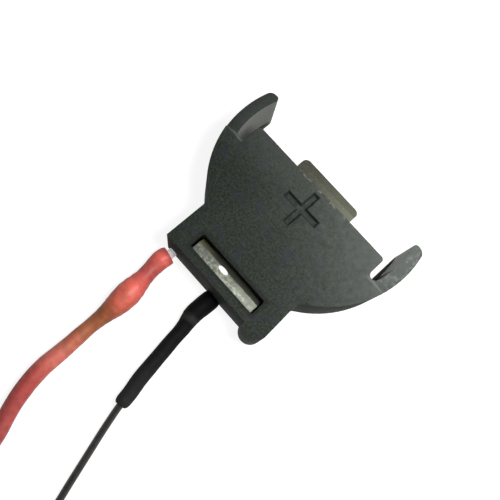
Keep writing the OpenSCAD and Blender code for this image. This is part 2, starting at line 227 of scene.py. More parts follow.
class Surface:
    """A material under construction: a Principled shader with shorthand for its usual nodes."""

    bevel_samples = 6
    # how far the rounded and the true normal agree, at an edge's rim and on the edge itself
    edge_agreement: Span = (0.98, 0.8)

    def __init__(self, name: str) -> None:
        """Start an empty material.

        Args:
            name: The material's name.
        """
        self.material = bpy.data.materials.new(name)
        self.material.use_nodes = True
        self.tree = self.material.node_tree
        self.shader = self.tree.nodes["Principled BSDF"]
        coordinates = self.node("ShaderNodeTexCoord")
        scaled = self.node("ShaderNodeVectorMath", operation="SCALE")
        scaled.inputs["Scale"].default_value = 1 / MM
        self.link(coordinates.outputs["Object"], scaled.inputs[0])
        self.place_mm = scaled.outputs[0]
        split = self.node("ShaderNodeSeparateXYZ")
        self.link(self.place_mm, split.inputs[0])
        self.x_mm, self.y_mm, self.z_mm = split.outputs

    def node(self, kind: str, **settings: object) -> bpy.types.Node:
        """Add a node.

        Args:
            kind: The node's type.
            **settings: Its properties.

        Returns:
            The node.
        """
        made = self.tree.nodes.new(kind)
        for key, value in settings.items():
            setattr(made, key, value)
        return made

    def link(self, source: Socket, target: Socket) -> None:
        """Join two sockets."""
        self.tree.links.new(source, target)

    def set(self, **values: object) -> None:
        """Set sockets of the shader, each named with underscores for spaces."""
        for key, value in values.items():
            self.shader.inputs[key.replace("_", " ")].default_value = value

    def feed(self, source: Socket, socket: str) -> None:
        """Link a source to one of the shader's sockets."""
        self.link(source, self.shader.inputs[socket])

    def noise(self, size_mm: float, detail: float = 2.0, grain: Grain = Grain.EVEN) -> Socket:
        """Make a noise whose lumps have a given size.

        Args:
            size_mm: The size of a lump.
            detail: How many finer layers it has.
            grain: How it is stretched.

        Returns:
            The noise, about 0.5 on average.
        """
        stretched = self.node("ShaderNodeVectorMath", operation="MULTIPLY")
        stretched.inputs[1].default_value = grain.value
        self.link(self.place_mm, stretched.inputs[0])
        texture = self.node("ShaderNodeTexNoise")
        texture.inputs["Scale"].default_value = 1 / size_mm
        texture.inputs["Detail"].default_value = detail
        self.link(stretched.outputs[0], texture.inputs["Vector"])
        return texture.outputs["Fac"]

    def lumps(self, mottle: Mottle) -> Socket:
        """Make the bare noise of a mottle."""
        return self.noise(mottle.size_mm, mottle.detail, mottle.grain)

    def patches(self, mottle: Mottle, lumps: Optional[Socket] = None) -> Socket:
        """Mask the patches of a mottle.

        Args:
            mottle: The mottle.
            lumps: Its bare noise, where that is made already.

        Returns:
            The mask.
        """
        source = self.lumps(mottle) if lumps is None else lumps
        return self.fade(source, mottle.start, mottle.full, mottle.share)

    def calc(self, operation: str, a: Value, b: Value = 0.0) -> Socket:
        """Combine two numbers or sockets.

        Args:
            operation: The Math node's operation.
            a: The first value.
            b: The second value.

        Returns:
            The result.
        """
        maths = self.node("ShaderNodeMath", operation=operation)
        for slot, value in enumerate((a, b)):
            if isinstance(value, Socket):
                self.link(value, maths.inputs[slot])
            else:
                maths.inputs[slot].default_value = value
        return maths.outputs[0]

    def times(self, first: Value, *others: Value) -> Value:
        """Multiply values with each other.

        Args:
            first: The first value.
            *others: The values that it is multiplied with.

        Returns:
            The product.
        """
        product = first
        for other in others:
            product = self.calc("MULTIPLY", product, other)
        return product

    def distance(self, x: Socket, y: Socket) -> Socket:
        """Turn two distances at right angles into the distance across."""
        return self.calc("SQRT", self.calc("ADD", self.times(x, x), self.times(y, y)))

    def fade(self, value: Socket, low: float, high: float, peak: float = 1.0) -> Socket:
        """Turn a value into 0 at low and the peak at high, eased between and clamped outside.

        Args:
            value: The value.
            low: Where the result is 0.
            high: Where the result is the peak. It may be under low.
            peak: The largest result.

        Returns:
            The eased result.
        """
        span = self.node("ShaderNodeMapRange", interpolation_type="SMOOTHSTEP")
        self.link(value, span.inputs["Value"])
        limits = (low, high, 0.0, peak) if low <= high else (high, low, peak, 0.0)
        for name, limit in zip(("From Min", "From Max", "To Min", "To Max"), limits):
            span.inputs[name].default_value = limit
        return span.outputs["Result"]

    def band(self, value: Socket, low: float, high: float, soft: float) -> Socket:
        """Make a mask that is 1 between two limits.

        Args:
            value: The value.
            low: The lower limit.
            high: The upper limit.
            soft: The width of the fade outside each limit.

        Returns:
            The mask.
        """
        rise = self.fade(value, low - soft, low)
        return self.times(rise, self.fade(value, high + soft, high))

    def mix(self, factor: Value, a: Paint, b: Paint) -> Socket:
        """Mix two colours.

        Args:
            factor: A number or socket, 0 for a and 1 for b.
            a: A colour or socket.
            b: A colour or socket.

        Returns:
            The mixed colour.
        """
        blend = self.node("ShaderNodeMix", data_type="RGBA")
        sockets = (blend.inputs[0], blend.inputs[6], blend.inputs[7])
        for socket, value in zip(sockets, (factor, a, b)):
            if isinstance(value, Socket):
                self.link(value, socket)
            elif isinstance(value, (int, float)):
                socket.default_value = value
            else:
                socket.default_value = (*value, 1.0)
        return blend.outputs[2]

    def roughen(self, least: float, source: Socket, spread: float) -> None:
        """Let the roughness grow from its least value with a source."""
        self.feed(self.calc("ADD", self.times(source, spread), least), "Roughness")

    def bump(self, height: Socket, strength: float, depth_mm: float) -> None:
        """Add relief under the shader's normal.

        Args:
            height: The height, 0 to 1.
            strength: How much of it shows.
            depth_mm: How deep the relief is.
        """
        relief = self.node("ShaderNodeBump")
        relief.inputs["Strength"].default_value = strength
        relief.inputs["Distance"].default_value = depth_mm * MM
        self.link(height, relief.inputs["Height"])
        normal = self.shader.inputs["Normal"]
        if normal.is_linked:
            self.link(normal.links[0].from_socket, relief.inputs["Normal"])
        self.link(relief.outputs["Normal"], normal)

    def edges(self, radius_mm: float) -> Socket:
        """Make a mask of the piece's sharp edges.

        Args:
            radius_mm: How far it reaches from an edge.

        Returns:
            The mask, 1 on the edge itself.
        """
        rounded = self.node("ShaderNodeBevel", samples=self.bevel_samples)
        rounded.inputs["Radius"].default_value = radius_mm * MM
        true = self.node("ShaderNodeNewGeometry")
        dot = self.node("ShaderNodeVectorMath", operation="DOT_PRODUCT")
        self.link(rounded.outputs[0], dot.inputs[0])
        self.link(true.outputs["True Normal"], dot.inputs[1])
        return self.fade(dot.outputs["Value"], *self.edge_agreement)


@dataclass(frozen=True)
class MouldedPlastic:
    """The housing's grained plastic: grain, scuffs and worn edges, with painted light and shade on
    the top, on the arms and round the mark and the window.

    Each Span of places is where a mask begins and where it is full, or the two ends of a band.
    """

    dark: Colour = (0.013, 0.016, 0.012)
    light: Colour = (0.027, 0.033, 0.026)
    cool: Colour = (0.021, 0.023, 0.028)
    # painted shade: the right inner wall behind the plate, the outline of the mark and the rim of
    # the window
    painted_shade: Colour = (0.006, 0.007, 0.006)
    # pale colour of wear, also used for painted highlights
    worn_and_lit: Colour = (0.20, 0.21, 0.19)
    # painted light: the top is lighter towards the front and the right arm, where the light falls
    painted_light: Colour = (0.086, 0.094, 0.087)
    # painted light on the inner walls of the arms, paler on the open part of the right one
    painted_wall_light: Colour = (0.12, 0.124, 0.113)
    painted_open_wall_light: Colour = (0.34, 0.35, 0.33)

    grain: Mottle = Mottle(0.24, 4.0, 0.3, 0.7)
    patch: Mottle = Mottle(1.1, 2.0, 0.48, 0.66, 0.6)
    speck: Mottle = Mottle(0.11, 0.0, 0.66, 0.74, 0.1)
    pale_patch: Mottle = Mottle(0.5, 4.0, 0.46, 0.68, 0.42)
    rim_patch: Mottle = Mottle(0.5, 2.0, 0.35, 0.65, 0.4)
    nick_and_glint: Mottle = Mottle(0.5, 4.0, 0.47, 0.66, 0.6)
    edge_wear: Mottle = Mottle(0.5, 3.0, 0.42, 0.62, 0.16)
    edge_mm: float = 0.12

    roughness: float = 0.6
    cloud_roughness: float = 0.16
    polish: float = 0.2
    wear_and_highlight_share: float = 0.8

    # the housing's own sizes
    top_mm: float = 5.3
    bay_mm: float = 10.2
    plate_edge_y_mm: float = -0.4
    slot_end_y_mm: float = -2.75
    slot_x_mm: float = 8.7
    mark_mm: Point = (4.2, 0.65, -3.1)
    window_x_mm: Span = (-4.35, 4.35)
    window_y_mm: Span = (-13.6, -11.8)

    # where the painted light grows, how far it leans to the right, and how ragged its edge is
    light_gradient_mm: Span = (-14.0, 10.0)
    light_lean: float = 0.6
    light_power: float = 1.75
    ragged_mm: float = 9.0
    front_light_mm: Span = (-6.0, 0.0)
    front_light_share: float = 0.36
    front_ragged: float = 0.4

    # the inner walls of the arms, painted light, the right one painted shadow behind the plate and
    # painted light where it is open
    wall_mm: Span = (-0.06, 0.03)
    wall_soft_mm: float = 0.05
    wall_y_mm: Span = (-2.8, -2.4)
    wall_top_mm: Span = (0.02, 0.12)
    right_x_mm: Span = (8.0, 9.0)
    open_y_mm: Span = (-0.5, 0.1)

    # the right arm's top, partly scuffed and partly painted light, and the painted shade round the
    # mark and the window
    arm_x_mm: Span = (8.6, 9.4)
    arm_y_mm: Span = (-2.8, -1.8)
    mark_rim_mm: Span = (-0.13, 0.07)
    mark_soft_mm: float = 0.06
    least_rim_patch: float = 0.6
    window_soft_mm: float = 0.5
    window_share: float = 0.55

    # the plate's front edge, nicked and with painted highlights, and the painted highlight along
    # the creases at the arms' roots
    nicked_x_mm: Span = (-3.4, 4.2)
    nicked_y_mm: Span = (-0.16, 0.1)
    nicked_soft_mm: Span = (0.8, 0.1)
    crease_mm: float = 0.12
    crease_soft_mm: float = 0.14
    crease_wave_mm: float = 0.3
    crease_share: float = 0.35

    def make(self) -> bpy.types.Material:
        """Build the material.

        Returns:
            The material.
        """
        s = Surface("grained_plastic")
        grain = s.lumps(self.grain)
        inner_walls = self.inner_walls(s)
        colour = s.mix(s.patches(self.grain, grain), self.dark, self.light)
        colour = s.mix(s.patches(self.patch), colour, self.cool)
        colour = s.mix(s.patches(self.speck), colour, self.worn_and_lit)
        # painted light: the top grows lighter towards the front and the right arm
        colour = s.mix(self.light_gradient(s), colour, self.painted_light)
        # painted light and shade on the arms' inner walls
        colour = s.mix(inner_walls, colour, self.wall_colour(s))
        # pale patches on the right arm's top: partly scuffs, partly painted light
        colour = s.mix(self.arm_scuffs_and_light(s), colour, self.worn_and_lit)
        # painted shade along the mark's outline and round the window
        colour = s.mix(self.rim_shade(s), colour, self.painted_shade)
        # worn edges, with nicks and painted highlight on the plate's front edge and painted
        # highlight at the arm roots
        colour = s.mix(s.times(self.wear_and_highlights(s), self.wear_and_highlight_share), colour, self.worn_and_lit)
        s.feed(colour, "Base Color")
        cloud = s.noise(size_mm=3.5, detail=1.0)
        rough = s.calc("ADD", s.times(cloud, self.cloud_roughness), self.roughness)
        s.feed(s.calc("SUBTRACT", rough, s.times(inner_walls, self.polish)), "Roughness")
        s.set(IOR=1.46, Specular_IOR_Level=0.06)
        s.bump(grain, strength=0.3, depth_mm=0.02)
        s.bump(s.noise(size_mm=0.45, detail=1.0), strength=0.2, depth_mm=0.03)
        return s.material

    def near_top(self, s: Surface, start_mm: float, full_mm: float) -> Socket:
        """Mask what lies near the top: from start_mm under it, and wholly from full_mm."""
        return s.fade(s.z_mm, self.top_mm - start_mm, self.top_mm - full_mm)

    def light_gradient(self, s: Surface) -> Socket:
        """Mask the painted light on the top, which grows towards the front and the right arm,
        where the light falls.

        Args:
            s: The surface under construction.

        Returns:
            The mask.
        """
        lumps = s.noise(size_mm=0.6, detail=4.0)
        ragged = s.times(s.calc("SUBTRACT", lumps, 0.5), self.ragged_mm)
        drift = s.calc("ADD", s.times(s.x_mm, self.light_lean), s.y_mm)
        growth = s.fade(s.calc("ADD", drift, ragged), *self.light_gradient_mm)
        growth = s.calc("POWER", growth, self.light_power)
        ahead = s.calc("ADD", s.y_mm, s.times(ragged, self.front_ragged))
        front = s.fade(ahead, *self.front_light_mm, self.front_light_share)
        growth = s.calc("MAXIMUM", growth, front)
        return s.times(growth, self.near_top(s, start_mm=0.7, full_mm=0.2))

    def inner_walls(self, s: Surface) -> Socket:
        """Mask the inner walls of the arms, polished by the cell and painted with light and shade.

        Args:
            s: The surface under construction.

        Returns:
            The mask.
        """
        low, high = (self.bay_mm + away for away in self.wall_mm)
        wall = s.band(s.distance(s.x_mm, s.y_mm), low, high, self.wall_soft_mm)
        start, full = (self.top_mm - under for under in self.wall_top_mm)
        return s.times(wall, s.fade(s.y_mm, *self.wall_y_mm), s.fade(s.z_mm, start, full))

    def wall_colour(self, s: Surface) -> Socket:
        """Colour the inner walls with painted light and shade: the left one pale as lit, the right
        one painted shadow behind the plate and pale as lit only where it is open.

        Args:
            s: The surface under construction.

        Returns:
            The colour.
        """
        right = s.mix(s.fade(s.y_mm, *self.open_y_mm), self.painted_shade, self.painted_open_wall_light)
        return s.mix(s.fade(s.x_mm, *self.right_x_mm), self.painted_wall_light, right)

    def arm_scuffs_and_light(self, s: Surface) -> Socket:
        """Mask the pale patches on the right arm's top, partly scuffs and partly painted light
        where the arm is lit.

        Args:
            s: The surface under construction.

        Returns:
            The mask.
        """
        arm = s.times(s.fade(s.x_mm, *self.arm_x_mm), s.fade(s.y_mm, *self.arm_y_mm))
        arm = s.times(arm, self.near_top(s, start_mm=0.7, full_mm=0.5))
        return s.times(arm, s.patches(self.pale_patch))

    def rim_shade(self, s: Surface) -> Socket:
        """Mask the painted shade along the outline of the plus mark and round the rim of the
        window.

        Args:
            s: The surface under construction.

        Returns:
            The mask.
        """
        inner, outer = (self.cross(s, grow) for grow in self.mark_rim_mm)
        outline = s.calc("SUBTRACT", outer, inner)
        outline = s.times(outline, self.near_top(s, start_mm=0.6, full_mm=0.5))
        patchy = s.calc("ADD", s.patches(self.rim_patch), self.least_rim_patch)
        along = s.band(s.x_mm, *self.window_x_mm, self.window_soft_mm)
        across = s.band(s.y_mm, *self.window_y_mm, self.window_soft_mm)
        window = s.times(along, across, self.window_share)
        return s.calc("MAXIMUM", s.times(outline, patchy), window)

    def cross(self, s: Surface, grow: float) -> Socket:
        """Mask a cross over the sunk plus mark.

        Args:
            s: The surface under construction.
            grow: How far it reaches past the mark, in millimetres.

        Returns:
            The mask.
        """
        length, width, middle = self.mark_mm
        long, short = length / 2 + grow, width / 2 + grow
        soft = self.mark_soft_mm
        bar = s.times(
            s.band(s.x_mm, -long, long, soft), s.band(s.y_mm, middle - short, middle + short, soft)
        )
        post = s.times(
            s.band(s.x_mm, -short, short, soft), s.band(s.y_mm, middle - long, middle + long, soft)
        )
        return s.calc("MAXIMUM", bar, post)

    def wear_and_highlights(self, s: Surface) -> Socket:
        """Mask the pale places: worn edges a little, the plate's front edge more with nicks and
        painted highlight, and painted highlight at the arm roots.

        Args:
            s: The surface under construction.

        Returns:
            The mask.
        """
        faint = s.times(s.edges(self.edge_mm), s.patches(self.edge_wear))
        low, high = (self.plate_edge_y_mm + away for away in self.nicked_y_mm)
        soft_x, soft_y = self.nicked_soft_mm
        front = s.times(
            s.band(s.y_mm, low, high, soft_y),
            s.band(s.x_mm, *self.nicked_x_mm, soft_x),
            self.near_top(s, start_mm=0.3, full_mm=0.1),
        )
        nicks_and_glints = s.times(front, s.patches(self.nick_and_glint))
        return s.calc("MAXIMUM", faint, s.calc("MAXIMUM", nicks_and_glints, self.crease_highlights(s)))

    def crease_highlights(self, s: Surface) -> Socket:
        """Mask the painted highlight along the creases across the roots of the arms.

        Args:
            s: The surface under construction.

        Returns:
            The mask.
        """
        wave = s.times(s.noise(size_mm=0.7, detail=1.0), self.crease_wave_mm)
        wavy = s.calc("ADD", s.y_mm, wave)
        low = self.slot_end_y_mm
        reach = s.calc("ABSOLUTE", s.x_mm)
        return s.times(
            s.band(wavy, low, low + self.crease_mm, self.crease_soft_mm),
            s.fade(reach, self.slot_x_mm, self.slot_x_mm + 0.5),
            self.near_top(s, start_mm=0.7, full_mm=0.5),
            self.crease_share,
        )


@dataclass(frozen=True)
class PlatedSheet:
    """The plated sheet of the tongue, painted darker brown on its left and lighter olive on its
    right as shade and light, with painted glints on speckles and edges.
    """

    # painted shade and light: darker on the left, lighter on the right, where the light falls
    left: Colour = (0.034, 0.033, 0.022)
    right: Colour = (0.068, 0.073, 0.045)
    # painted glints on the speckles and along the edges
    lit_colour: Colour = (0.19, 0.19, 0.135)
    speckle: Mottle = Mottle(0.14, 2.0, 0.42, 0.7, 0.22)
    half_width_mm: float = 3.95
    edge_mm: float = 0.1
    edge_glint_share: float = 0.6

    def make(self) -> bpy.types.Material:
        """Build the material.

        Returns:
            The material.
        """
        s = Surface("plated_sheet")
        speckle = s.lumps(self.speckle)
        across = s.fade(s.x_mm, -self.half_width_mm, self.half_width_mm)
        colour = s.mix(across, self.left, self.right)
        colour = s.mix(s.patches(self.speckle, speckle), colour, self.lit_colour)
        # painted glint along the edges
        colour = s.mix(s.times(s.edges(self.edge_mm), self.edge_glint_share), colour, self.lit_colour)
        s.feed(colour, "Base Color")
        s.roughen(0.42, speckle, spread=0.2)
        s.set(Metallic=0.4)
        s.bump(speckle, strength=0.25, depth_mm=0.02)
        s.bump(s.noise(size_mm=1.2, detail=1.0), strength=0.3, depth_mm=0.05)
        return s.material


@dataclass(frozen=True)
class TinnedSheet:
    """The positive contact: a crinkled flange with painted highlights and a painted glint, and a
    leaf in front of it painted dark as shade.
    """

    silver: Colour = (0.085, 0.091, 0.074)
    # pale: painted highlights on the crinkled flange
    pale: Colour = (0.21, 0.222, 0.178)
    # painted shade on the leaf, deeper towards its left end
    leaf_shade: Colour = (0.085, 0.08, 0.042)
    deep_shade: Colour = (0.034, 0.035, 0.024)
    # a painted glint on the flange's front edge
    glint: Colour = (0.95, 0.95, 0.93)
    crinkle: Mottle = Mottle(0.3, 3.0, 0.36, 0.7)
    blotch: Mottle = Mottle(0.8, 2.0, 0.3, 0.65, grain=Grain.ALONG_X)
    spot_mm: Span = (-0.55, -12.62)
    spot_radius_mm: Span = (0.27, 0.19)
    spot_squash: float = 0.42
    flange_front_mm: float = -12.45
    fold_soft_mm: float = 0.06
    fold_wave_mm: float = 0.5
    deep_shade_x_mm: Span = (-3.6, -1.6)
    metallic: float = 0.8
    spot_dulling: float = 0.7
    leaf_dulling: float = 0.6

    def make(self) -> bpy.types.Material:
        """Build the material.

        Returns:
            The material.
        """
        s = Surface("tinned_sheet")
        crinkle, blotch = s.lumps(self.crinkle), s.lumps(self.blotch)
        leaf, glint_at = self.leaf(s), self.glint_mask(s)
        lit = s.times(s.patches(self.crinkle, crinkle), s.patches(self.blotch, blotch))
        colour = s.mix(lit, self.silver, self.pale)
        shaded = s.mix(s.fade(s.x_mm, *self.deep_shade_x_mm), self.leaf_shade, self.deep_shade)
        colour = s.mix(leaf, colour, shaded)
        s.feed(s.mix(glint_at, colour, self.glint), "Base Color")
        s.roughen(0.46, leaf, spread=0.12)
        dull = s.times(glint_at, self.spot_dulling)
        dull = s.calc("MAXIMUM", dull, s.times(leaf, self.leaf_dulling))
        s.feed(s.calc("SUBTRACT", self.metallic, dull), "Metallic")
        s.bump(crinkle, strength=0.35, depth_mm=0.04)
        s.bump(blotch, strength=0.3, depth_mm=0.06)
        return s.material

    def leaf(self, s: Surface) -> Socket:
        """Mask what lies in front of the flange, past a wavy line.

        Args:
            s: The surface under construction.

        Returns:
            The mask.
        """
        lumps = s.noise(size_mm=1.1, detail=2.0)
        wave = s.times(s.calc("SUBTRACT", lumps, 0.5), self.fold_wave_mm)
        line = s.calc("ADD", s.y_mm, wave)
        front, soft = self.flange_front_mm, self.fold_soft_mm
        return s.fade(line, front - soft, front + soft)

    def glint_mask(self, s: Surface) -> Socket:
        """Mask the painted glint on the flange, longer along the fold.

        Args:
            s: The surface under construction.

        Returns:
            The mask.
        """
        x_mm, y_mm = self.spot_mm
        x = s.times(s.calc("SUBTRACT", s.x_mm, x_mm), self.spot_squash)
        y = s.calc("SUBTRACT", s.y_mm, y_mm)
        return s.fade(s.distance(x, y), *self.spot_radius_mm)


@dataclass(frozen=True)
class Solder:
    """Solder painted white, slightly rippled, with a faint glow that is a painted glint."""

    # painted glint: white in place of the solder's metal
    colour: Colour = (0.93, 0.93, 0.94)
    grey: Colour = (0.8, 0.8, 0.8)
    ripple: Mottle = Mottle(0.35, 2.0, 0.5, 0.8)

    def make(self) -> bpy.types.Material:
        """Build the material.

        Returns:
            The material.
        """
        s = Surface("solder")
        ripple = s.lumps(self.ripple)
        s.feed(s.mix(s.patches(self.ripple, ripple), self.colour, self.grey), "Base Color")
        s.roughen(0.25, ripple, spread=0.2)
        # the glow is a painted glint: the solder glows though it is no lamp
        s.set(Metallic=0.0, Emission_Strength=0.3)
        s.bump(ripple, strength=0.25, depth_mm=0.04)
        return s.material


@dataclass(frozen=True)
class ShrinkTube:
    """A shrink sleeve whose colour changes along its length, partly as painted light and shade.

    Attributes:
        name: The material's name.
        stops: Places along the sleeve, from 0 to 1, and the colour at each.
        glow: How much light passes under the skin.
        roughness: The least roughness.
        coat: How much clear gloss lies on it.
        sheen: How strongly the plastic itself shines.
        mottle: How much darker its dark patches are.
    """

    name: str
    stops: tuple[tuple[float, Colour], ...]
    glow: float
    roughness: float
    coat: float
    sheen: float
    mottle: float = 0.12
    shade: Mottle = Mottle(0.7, 2.0, 0.3, 0.7)
    drift: float = 0.12

    def make(self) -> bpy.types.Material:
        """Build the material.

        Returns:
            The material.
        """
        s = Surface(self.name)
        colour = self.ramp(s)
        shade = s.patches(self.shade)
        dim = s.node("ShaderNodeMix", data_type="RGBA", blend_type="MULTIPLY")
        dim.inputs[0].default_value = 1.0
        s.link(colour, dim.inputs[6])
        dim.inputs[7].default_value = (1 - self.mottle,) * 3 + (1,)
        s.feed(s.mix(shade, colour, dim.outputs[2]), "Base Color")
        s.roughen(self.roughness, shade, spread=0.1)
        s.set(IOR=1.5, Specular_IOR_Level=self.sheen)
        s.set(Coat_Weight=self.coat, Coat_Roughness=0.25)
        s.set(Subsurface_Weight=self.glow, Subsurface_Radius=(1.0, 0.3, 0.2))
        s.set(Subsurface_Scale=0.5 * MM)
        s.bump(s.noise(size_mm=0.9), strength=0.25, depth_mm=0.06)
        s.bump(s.noise(size_mm=0.12), strength=0.08, depth_mm=0.01)
        return s.material

    def ramp(self, s: Surface) -> Socket:
        """Colour the sleeve along its length, with slightly ragged changes.

        Args:
            s: The surface under construction.

        Returns:
            The colour.
        """
        along = s.node("ShaderNodeAttribute", attribute_name="along")
        drift = s.times(s.calc("SUBTRACT", s.noise(size_mm=1.6), 0.5), self.drift)
        ramp = s.node("ShaderNodeValToRGB")
        s.link(s.calc("ADD", along.outputs["Fac"], drift), ramp.inputs[0])
        elements = ramp.color_ramp.elements
        for element, (place, colour) in zip(elements, (self.stops[0], self.stops[-1])):
            element.position, element.color = place, (*colour, 1)
        for place, colour in self.stops[1:-1]:
            elements.new(place).color = (*colour, 1)
        return ramp.outputs[0]


@dataclass(frozen=True)
class Insulation:
    """Smooth extruded insulation, slightly uneven in tone."""

    name: str
    colour: Colour
    pale: Colour
    tone: Mottle = Mottle(0.6, 2.0, 0.35, 0.75)

    def make(self) -> bpy.types.Material:
        """Build the material.

        Returns:
            The material.
        """
        s = Surface(self.name)
        tone = s.lumps(self.tone)
        s.feed(s.mix(s.patches(self.tone, tone), self.colour, self.pale), "Base Color")
        s.roughen(0.3, tone, spread=0.15)
        s.set(IOR=1.48)
        s.bump(s.noise(size_mm=0.15), strength=0.12, depth_mm=0.01)
        return s.material


@dataclass(frozen=True)
class Nylon:
    """Milky nylon of the ties."""

    colour: Colour = (0.72, 0.72, 0.68)
    deep: Colour = (0.62, 0.62, 0.58)
    tone: Mottle = Mottle(0.5, 2.0, 0.3, 0.7)

    def make(self) -> bpy.types.Material:
        """Build the material.

        Returns:
            The material.
        """
        s = Surface("nylon")
        tone = s.lumps(self.tone)
        s.feed(s.mix(s.patches(self.tone, tone), self.colour, self.deep), "Base Color")
        s.roughen(0.35, tone, spread=0.2)
        s.set(Subsurface_Weight=0.3, Subsurface_Radius=(1.0, 1.0, 0.9))
        s.set(Subsurface_Scale=0.3 * MM)
        s.bump(s.noise(size_mm=0.1), strength=0.15, depth_mm=0.01)
        return s.material


@dataclass(frozen=True)
class TinnedCopper:
    """The bare strands at the end of each lead."""

    colour: Colour = (0.70, 0.71, 0.72)
    copper: Colour = (0.62, 0.5, 0.4)
    tone: Mottle = Mottle(0.2, 2.0, 0.4, 0.8)

    def make(self) -> bpy.types.Material:
        """Build the material.

        Returns:
            The material.
        """
        s = Surface("tinned_copper")
        tone = s.lumps(self.tone)
        s.feed(s.mix(s.patches(self.tone, tone), self.colour, self.copper), "Base Color")
        s.roughen(0.18, tone, spread=0.2)
        s.set(Metallic=1.0)
        return s.material


def dress(piece: bpy.types.Object, material: bpy.types.Material) -> None:
    """Give a piece its material.

    Args:
        piece: The piece.
        material: Its material.
    """
    piece.data.materials.clear()
    piece.data.materials.append(material)
    LOG.info("dressed %s in %s", piece.name, material.name)


# ------------------------------------------------------------------ studio


@dataclass
class Studio:
    """The camera, the floor and the lights."""

    aim_mm: Point = (-0.8, -8.34, 0.0)
    camera_mm: Point = (5.36, -22.81, 60.04)
    roll_deg: float = 25.5
    lens: float = 43.45
    clip_start: float = 1 * MM
    floor_radius: float = 0.55
    wall_height: float = 0.4
    wall_sides: int = 96
    room_light: float = 0.2
    lit_mm: Point = (0, -6, 3)

    def add_camera(self) -> None:
        """Place the camera and make it the scene's."""
        data = bpy.data.cameras.new("camera")
        data.lens = self.lens
        data.clip_start = self.clip_start
        camera = bpy.data.objects.new("camera", data)
        camera.location = Vector(self.camera_mm) * MM
        gaze = Vector(self.aim_mm) - Vector(self.camera_mm)
        upright = gaze.to_track_quat("-Z", "Y").to_matrix()
        turned = upright @ Matrix.Rotation(math.radians(self.roll_deg), 3, "Z")
        camera.rotation_euler = turned.to_euler()
        bpy.context.scene.collection.objects.link(camera)
        bpy.context.scene.camera = camera

    def seen(self, tree: bpy.types.NodeTree) -> Socket:
        """Make a factor that is 1 on rays that show the backdrop.

        Args:
            tree: The node tree to add to.

        Returns:
            The factor.
        """
        path = tree.nodes.new("ShaderNodeLightPath")
        total = path.outputs["Is Camera Ray"]
        for name in ("Is Glossy Ray", "Is Transmission Ray"):
            both = tree.nodes.new("ShaderNodeMath")
            both.operation = "MAXIMUM"
            tree.links.new(total, both.inputs[0])
            tree.links.new(path.outputs[name], both.inputs[1])
            total = both.outputs[0]
        return total

    def white(self, name: str, diffuse: float, glow: float) -> bpy.types.Material:
        """Make a backdrop material that is white where it is seen.

        Args:
            name: The material's name.
            diffuse: Its own grey, which takes the shadows.
            glow: How much it adds where it is seen.

        Returns:
            The material.
        """
        material = bpy.data.materials.new(name)
        material.use_nodes = True
        tree = material.node_tree
        tree.nodes.clear()
        output = tree.nodes.new("ShaderNodeOutputMaterial")
        lit = tree.nodes.new("ShaderNodeBsdfDiffuse")
        lit.inputs["Color"].default_value = (diffuse, diffuse, diffuse, 1)
        light = tree.nodes.new("ShaderNodeEmission")
        light.inputs["Color"].default_value = (glow, glow, glow, 1)
        tree.links.new(self.seen(tree), light.inputs["Strength"])
        both = tree.nodes.new("ShaderNodeAddShader")
        tree.links.new(lit.outputs[0], both.inputs[0])
        tree.links.new(light.outputs[0], both.inputs[1])
        tree.links.new(both.outputs[0], output.inputs["Surface"])
        return material

    def add_backdrop(self) -> None:
        """Lay a round pale floor that keeps the shadows, and stand a white wall round it."""
        sides = self.wall_sides
        rim = [
            (self.floor_radius * math.cos(a), self.floor_radius * math.sin(a))
            for a in (2 * math.pi * k / sides for k in range(sides))
        ]
        low = [(x, y, 0.0) for x, y in rim]
        high = [(x, y, self.wall_height) for x, y in rim]
        wall = [(k, (k + 1) % sides, sides + (k + 1) % sides, sides + k) for k in range(sides)]
        floor_white = self.white("floor", diffuse=0.3, glow=0.88)
        wall_white = self.white("wall", diffuse=0.1, glow=1.0)
        self.add_stage("floor", low, [tuple(range(sides))], floor_white)
        self.add_stage("wall", low + high, wall, wall_white)

    def add_stage(
        self,
        name: str,
        points: list[Point],
        faces: list[tuple[int, ...]],
        material: bpy.types.Material,
    ) -> None:
        """Add a piece of the backdrop.

        Args:
            name: The piece's name.
            points: Its vertices.
            faces: The vertex numbers of its faces.
            material: Its material.
        """
        mesh = bpy.data.meshes.new(name)
        mesh.from_pydata(points, [], faces)
        mesh.materials.append(material)
        piece = bpy.data.objects.new(name, mesh)
        bpy.context.scene.collection.objects.link(piece)

    def add_world(self) -> None:
        """Fill the room with dim, even light."""
        world = bpy.data.worlds.new("room")
        bpy.context.scene.world = world
        world.use_nodes = True
        back = world.node_tree.nodes["Background"]
        back.inputs["Color"].default_value = (1, 1, 1, 1)
        back.inputs["Strength"].default_value = self.room_light

    def add_light(self, name: str, place_mm: Point, size_mm: float, power: float) -> None:
        """Hang a square soft light that faces the part.

        Args:
            name: The light's name.
            place_mm: Where it hangs.
            size_mm: The length of its side.
            power: Its power in watts.
        """
        data = bpy.data.lights.new(name, "AREA")
        data.size = size_mm * MM
        data.energy = power
        light = bpy.data.objects.new(name, data)
        light.location = Vector(place_mm) * MM
        gaze = Vector(self.lit_mm) - Vector(place_mm)
        light.rotation_euler = gaze.to_track_quat("-Z", "Y").to_euler()
        light.visible_camera = False
        bpy.context.scene.collection.objects.link(light)

    def build(self) -> None:
        """Add everything but the camera."""
        self.add_backdrop()
        self.add_world()
        self.add_light("key", (40, 68, 42), size_mm=35, power=0.05)
        self.add_light("over", (12, -6, 43), size_mm=14, power=0.0215)
        bpy.context.scene.view_settings.view_transform = "Standard"


# ------------------------------------------------------------------ leads

